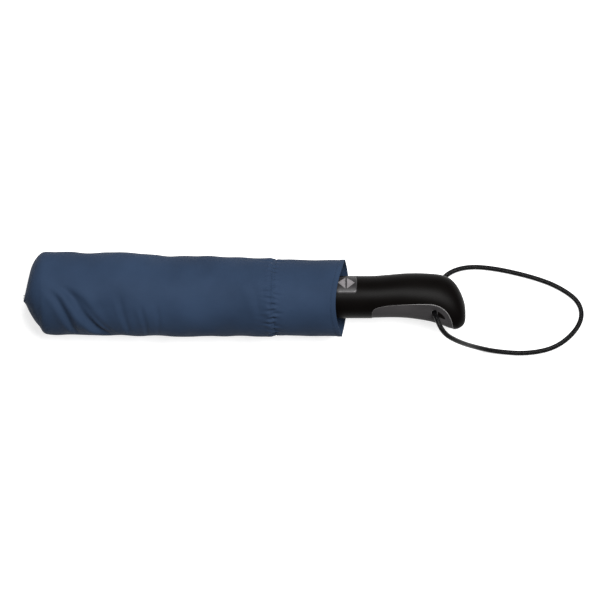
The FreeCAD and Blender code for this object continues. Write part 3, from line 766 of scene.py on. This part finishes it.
def make_button():
    """A curved plate whose bevel is painted lighter along one side as a painted highlight, and two bright
    triangles base to base.
    """
    outline = rounded_outline(BUTTON_LOW.x, BUTTON_HIGH.x, BUTTON_HALF, 0.0020)
    middle_x = (BUTTON_LOW.x + BUTTON_HIGH.x) / 2
    # inset from the outline and depth under the curved face
    rings = [(0.0, None), (0.0, 0.0011), (0.00010, 0.0006)]
    rings += [(0.00045, 0.00018), (0.0008, 0.00003), (0.0011, 0.0)]
    points = []
    for inset, drop in rings:
        for x, t in outline:
            px = middle_x + (x - middle_x) * (1 - inset / ((BUTTON_HIGH.x - BUTTON_LOW.x) / 2))
            pt = t * (1 - inset / BUTTON_HALF)
            h = BUTTON_FOOT if drop is None else math.sqrt(BUTTON_R ** 2 - pt ** 2) - drop
            points.append((px, pt, h))
    last = points[-len(outline):]
    for share in (0.75, 0.5, 0.25, 0.02):
        for px, pt, _ in last:
            t = pt * share
            points.append((middle_x + (px - middle_x) * share, t, math.sqrt(BUTTON_R ** 2 - t ** 2)))
    count = len(outline)
    rows = len(rings) + 4
    faces = [tuple(reversed(face)) for face in grid_faces(rows, count, True)]
    faces.append(tuple(range(count)))
    faces.append(tuple(range(rows * count - 1, (rows - 1) * count - 1, -1)))
    plate = over_button(points, faces, "button_plate", BUTTON_GREY)
    plate.data.materials.append(BUTTON_EDGE_HIGHLIGHT)
    # the bevel's faces on one side take the lighter material: a painted highlight along that edge
    for face in plate.data.polygons[2 * count:4 * count]:
        if (face.center - at_button(0, 0, 0)).dot(BUTTON_SIDE) > HIGHLIGHT_FROM:
            face.material_index = 1
    marks = []
    for side in (-1, 1):
        base = middle_x + side * 0.00045
        corners = [(base, -0.0046), (base, 0.0046), (base + side * 0.0050, 0.0)]
        centre = (base + side * 0.0017, 0.0)
        points = []
        for shrink, lift in ((1.0, -0.0010), (1.0, 0.00022), (0.90, 0.00045), (0.80, 0.00040)):
            for first, second in zip(corners, corners[1:] + corners[:1]):
                for step in range(10):
                    x = first[0] + (second[0] - first[0]) * step / 10
                    t = first[1] + (second[1] - first[1]) * step / 10
                    x = centre[0] + (x - centre[0]) * shrink
                    t = centre[1] + (t - centre[1]) * shrink
                    points.append((x, t, math.sqrt(BUTTON_R ** 2 - t ** 2) + lift))
        faces = grid_faces(4, 30, True)
        if side < 0:
            faces = [tuple(reversed(face)) for face in faces]
        faces.append(tuple(range(90, 120)) if side < 0 else tuple(range(119, 89, -1)))
        marks.append(over_button(points, faces, "mark", BUTTON_LIGHT))
    smooth_by_angle(plate, 35)
    for mark in marks:
        smooth_by_angle(mark, 25)
    join(plate, *marks)
    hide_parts("push_button")
    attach(plate, "button")


# ---- cord ----------------------------------------------------------------------------------------
def make_cord():
    """The braided cord, a loop through the beak's hole."""
    curve = bpy.data.curves.new("wrist_cord_braid", "CURVE")
    curve.dimensions = "3D"
    curve.bevel_depth = CORD_R
    curve.bevel_resolution = 6
    curve.use_fill_caps = True
    curve.resolution_u = 24
    line = curve.splines.new("NURBS")
    line.points.add(len(CORD_ROUTE) - 1)
    for point, place in zip(line.points, CORD_ROUTE):
        point.co = (*place, 1)
    line.order_u = 3
    line.use_endpoint_u = True
    made = bpy.data.objects.new("wrist_cord_braid", curve)
    bpy.context.scene.collection.objects.link(made)
    curve.materials.append(BRAID)
    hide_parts("wrist_cord")
    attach(made, "handle")


# ---- rolled canopy and its strap -----------------------------------------------------------------
FLAPS = 6
FLAP_TURNS = 2.0         # how far each flap is wound round the ribs
FLAP_WIDTH = 0.27        # length of cloth in a flap's winding
ROLL_IN = 0.0199         # the winding's inside radius
ROLL_OUT = 0.0224        # the winding's outside radius


def crown_taper(x):
    """How far the roll has opened out at x, from its clamp under the ferrule cap."""
    stations = [CROWN_X - 0.0054, CROWN_X - 0.0047, CROWN_X - 0.0030, CROWN_X - 0.0006, CROWN_X + 0.02]
    return np.interp(x, stations, [0.30, 0.64, 0.90, 1.0, 1.0])


def make_rolled_canopy():
    """Six double flaps of cloth wound round the folded ribs."""
    rows, half = 46, 56
    x = np.linspace(0, 1, rows)
    x = BUNDLE_LOW.x + 0.0003 + (BUNDLE_HIGH.x - BUNDLE_LOW.x - 0.0006) * np.where(x < 0.2, x * x * 5, x)
    points = []
    uvs = []
    faces = []
    for flap in range(FLAPS):
        turns = np.concatenate([np.linspace(0, 1, half), np.linspace(1, 0, half)])
        layer = np.concatenate([np.zeros(half), np.full(half, 0.00011)])
        columns = len(turns)
        first = len(points)
        for place in x:
            reach = turns * (FLAP_TURNS - 0.05 * math.sin(40 * place + flap))
            angle = 2 * math.pi * (flap / FLAPS + reach) + 4.0 * (place - CROWN_X)
            radius = ROLL_IN + (ROLL_OUT - ROLL_IN) * reach / FLAP_TURNS + layer
            ripple = 0.00018 * np.sin(9 * angle + 130 * place + flap)
            ripple = ripple + 0.00015 * np.sin(5 * angle - 90 * place)
            radius = (radius + ripple * smoothstep(reach / FLAP_TURNS)) * crown_taper(place)
            level = np.full(columns, place)
            points.extend(zip(level, radius * np.sin(angle), AXIS_Z + radius * np.cos(angle)))
            uvs.extend(zip(turns * FLAP_WIDTH, level))
        for face in grid_faces(rows, columns, False):
            faces.append(tuple(first + corner for corner in face))
    made = mesh_object("rolled_canopy", points, faces, CANOPY_CLOTH, uvs)
    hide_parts("canopy")
    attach(made, "crown")
    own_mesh(made)


def make_strap():
    """A tab of the same cloth round the roll, its end lapped and stitched."""
    low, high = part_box("closure_strap")
    radius = (high.z - low.z) / 2 - 0.0001
    across = np.linspace(0, 1, 11)
    angle = np.linspace(0, 2 * math.pi + 0.55, 150)
    points = []
    uvs = []
    for turn in angle:
        lap = 0.00045 * smoothstep((turn - 2 * math.pi + 0.25) / 0.2)
        narrow = 1 - 0.55 * smoothstep((turn - angle[-1] + 0.16) / 0.16) ** 2
        for share in across:
            x = (low.x + high.x) / 2 + (high.x - low.x) * (share - 0.5) * narrow
            edge = 0.00015 * (1 - bell(share, 0.09, 0.04) - bell(share, 0.91, 0.04))
            r = radius + lap + edge
            points.append((x, r * math.sin(turn), AXIS_Z + r * math.cos(turn)))
            uvs.append((turn * radius, share * 0.013))
    made = mesh_object("strap_cloth", points, grid_faces(len(angle), len(across), False), CANOPY_CLOTH, uvs)
    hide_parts("closure_strap")
    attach(made, "crown")
    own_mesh(made)


# ---- open canopy ---------------------------------------------------------------------------------
TOP_RISE = 0.0027        # the middle of the folded top rib over the crown's hinges
MIDDLE_RISE = 0.0054     # the same for the middle rib, which lies on it
OUTER_RISE = 0.0081      # the same for the outer rib, which lies outermost
RIB_HALF = 0.0011        # half a rib's height
CLOTH_GAP = 0.0022       # cloth over the ribs' outer faces
STRIP = 0.002            # half width of the folded strip that a half ring lies in at rest
FACET = 0.5              # 0 is a round dome, 1 has straight chords between the ribs
HEM_HOLLOW = 0.020       # how far the hem curves in half-way between two ribs


def joint_turn(name, degrees):
    """The move that a hinge makes, as a matrix in the row frame."""
    pivot = Vector(JOINTS[name]["pos_m"])
    turn = Matrix.Rotation(math.radians(degrees), 4, Vector(JOINTS[name]["axis"]))
    return Matrix.Translation(pivot) @ turn @ Matrix.Translation(-pivot)


def opened_ribs():
    """Where the first rib's three segments go when the frame is open."""
    top = joint_turn("frame_open", OPEN_TURN)
    middle = top @ joint_turn("middle_rib_1_fold", RATIOS["middle_rib_1_fold"] * OPEN_TURN)
    outer = middle @ joint_turn("outer_rib_1_fold", RATIOS["outer_rib_1_fold"] * OPEN_TURN)
    return top, middle, outer


def dome_profile(top, middle, outer):
    """The open canopy's x and radius over the first rib, one list for each ring."""
    top_z = HINGE.z + TOP_RISE + RIB_HALF + CLOTH_GAP
    middle_z = HINGE.z + MIDDLE_RISE - RIB_HALF - CLOTH_GAP
    outer_z = HINGE.z + OUTER_RISE + RIB_HALF + CLOTH_GAP
    clamp = [Vector((CROWN_X - 0.0053, 0, AXIS_Z + r)) for r in (0.0056, 0.0075, 0.0096)]
    reach = np.linspace(0.014, KNEE_A[0] - CROWN_X, 18)
    inner_ring = clamp + [top @ Vector((CROWN_X + s, 0, top_z)) for s in reach]
    middle_ring = [middle @ Vector((s, 0, middle_z)) for s in np.linspace(KNEE_A[0], KNEE_B[0], 18)]
    outer_ring = [outer @ Vector((s, 0, outer_z)) for s in np.linspace(KNEE_B[0], TIP_X + 0.0005, 20)]
    middle_ring[0] = inner_ring[-1]
    outer_ring[0] = middle_ring[-1]
    return [[(p.x, p.z - AXIS_Z) for p in ring] for ring in (inner_ring, middle_ring, outer_ring)]


def panel_point(ring, index, degrees, hem):
    """x and radius of the cloth at one azimuth; between ribs it runs flatter, and its hem is hollow."""
    x, radius = ring[index]
    between = (degrees % 60.0) - 30.0
    hollow = 1 - (between / 30.0) ** 2
    if hem:
        back = HEM_HOLLOW * hollow * (index / (len(ring) - 1)) ** 3
        last, first = ring[-1], ring[-2]
        step = math.hypot(last[0] - first[0], last[1] - first[1])
        x -= back * (last[0] - first[0]) / step
        radius -= back * (last[1] - first[1]) / step
    chord = math.cos(math.radians(30)) / math.cos(math.radians(between))
    share = FACET * min(1.0, max(0.0, (radius - 0.012) / 0.06))
    return x, radius * (1 - share * (1 - chord))


def strip_share(radius, degrees, full):
    """How far round its fan a point is, so that it folds into the strip at rest."""
    low, high = 0.0, 1.0
    for _ in range(60):
        t = (low + high) / 2
        turn = full * t * t * (3 - 2 * t)
        if radius * math.sin(math.radians(degrees - turn)) > STRIP * (2 * t - 1):
            low = t
        else:
            high = t
    t = (low + high) / 2
    return full * t * t * (3 - 2 * t)


def make_canopy_half(ring_name, side, ring, opened, hem):
    """Half a ring of the canopy, laid out spread like a fan from the first rib and folded back into its strip at
    rest.
    """
    node = f"canopy_{ring_name}_{side}"
    spread = f"{node}_spread"
    full = RATIOS[spread] * OPEN_TURN
    back = opened.inverted()
    sign = 1 if side == "left" else -1
    azimuths = np.linspace(0, 180, 46)
    points = []
    uvs = []
    for index in range(len(ring)):
        for degrees in azimuths:
            x, radius = panel_point(ring, index, degrees, hem)
            bearing = math.radians(degrees)
            place = Vector((x, -sign * radius * math.sin(bearing), AXIS_Z + radius * math.cos(bearing)))
            turn = strip_share(radius, degrees, full)
            folded = joint_turn(spread, turn).inverted() @ (back @ place)
            points.append(folded)
            uvs.append((bearing * radius, math.hypot(x - CROWN_X, radius)))
    made = mesh_object(f"open_{node}", points, grid_faces(len(ring), len(azimuths), False), CANOPY_CLOTH, uvs)
    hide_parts(node)
    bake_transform(made)


def make_open_canopy():
    """Three rings of cloth, each shaped over one segment of the first rib."""
    top, middle, outer = opened_ribs()
    rings = dome_profile(top, middle, outer)
    carriers = [
        ("inner", top, "top_rib_1"),
        ("middle", middle, "middle_rib_1"),
        ("outer", outer, "outer_rib_1"),
    ]
    for (name, opened, rib), ring in zip(carriers, rings):
        for side in ("left", "right"):
            make_canopy_half(name, side, ring, opened, name == "outer")


# ---- CAD nodes that keep their shape -------------------------------------------------------------
def dress_cad_nodes():
    """Gives each CAD node that stays in sight its material."""
    looks = {
        "latch_lever": BLACK_PLASTIC,
        "button_spring": WIRE,
        "main_spring": WIRE,
        "lower_tube": LACQUER,
        "middle_tube": ZINC,
        "upper_tube": ZINC,
        "crown": BLACK_PLASTIC,
        "runner": BLACK_PLASTIC,
        "ferrule_cap": BLACK_PLASTIC,
        "cord_joint": BLACK_PLASTIC,
    }
    families = {
        "top_rib": LACQUER,
        "stretcher": LACQUER,
        "connecting_rod": WIRE,
        "middle_rib": ALUMINIUM,
        "spring_rod": WIRE,
        "outer_rib": FIBREGLASS,
    }
    for name, node in frame["nodes"].items():
        look = looks.get(name) or families.get(name.rsplit("_", 1)[0])
        if look is None:
            continue
        node.data.materials.clear()
        node.data.materials.append(look)


# ---- floor, lights and camera --------------------------------------------------------------------
VIEW_WIDTH = 0.3873      # what the camera takes in at the shaft's height
VIEW_CENTRE = (0.0357, -0.0019)


def make_floor():
    """A pale table, lit a little from below as a light table is, so that its shadows stay faint."""
    paper = moulded("floor_paper", (0.37, 0.37, 0.37), 0.8, 300.0, 0.00002, 0.2, 0.76)
    mesh_object("floor", [(-4, -4, 0), (4, -4, 0), (4, 4, 0), (-4, 4, 0)], [(0, 1, 2, 3)], paper)


def area_light(name, place, target, size, power):
    """A rectangular light that faces the target."""
    light = bpy.data.lights.new(name, "AREA")
    light.shape = "RECTANGLE"
    light.size, light.size_y = size
    light.energy = power
    made = bpy.data.objects.new(name, light)
    made.location = place
    made.rotation_euler = (Vector(target) - Vector(place)).to_track_quat("-Z", "Y").to_euler()
    bpy.context.scene.collection.objects.link(made)


def make_light():
    """A faint even glow all round, and one large soft lamp above and beyond the umbrella."""
    world = bpy.data.worlds.new("studio")
    world.use_nodes = True
    world.node_tree.nodes["Background"].inputs["Color"].default_value = (1, 1, 1, 1)
    world.node_tree.nodes["Background"].inputs["Strength"].default_value = 0.10
    bpy.context.scene.world = world
    area_light("key", (0.30, 0.38, 1.45), (0, 0, 0.02), (1.1, 0.7), 58)
    bpy.context.scene.view_settings.view_transform = "Standard"


def make_camera():
    """Straight above the umbrella, from far off."""
    data = bpy.data.cameras.new("camera")
    data.lens = 400
    data.clip_end = 50
    data.sensor_width = 36
    made = bpy.data.objects.new("camera", data)
    distance = VIEW_WIDTH * data.lens / data.sensor_width
    made.location = (VIEW_CENTRE[0], VIEW_CENTRE[1], AXIS_Z + distance)
    bpy.context.scene.collection.objects.link(made)
    bpy.context.scene.camera = made


make_camera()
make_cord()
make_stitches()
make_sheath()
make_elastic()
make_handle()
make_button()
make_rolled_canopy()
make_strap()
make_open_canopy()
dress_cad_nodes()
make_floor()
make_light()
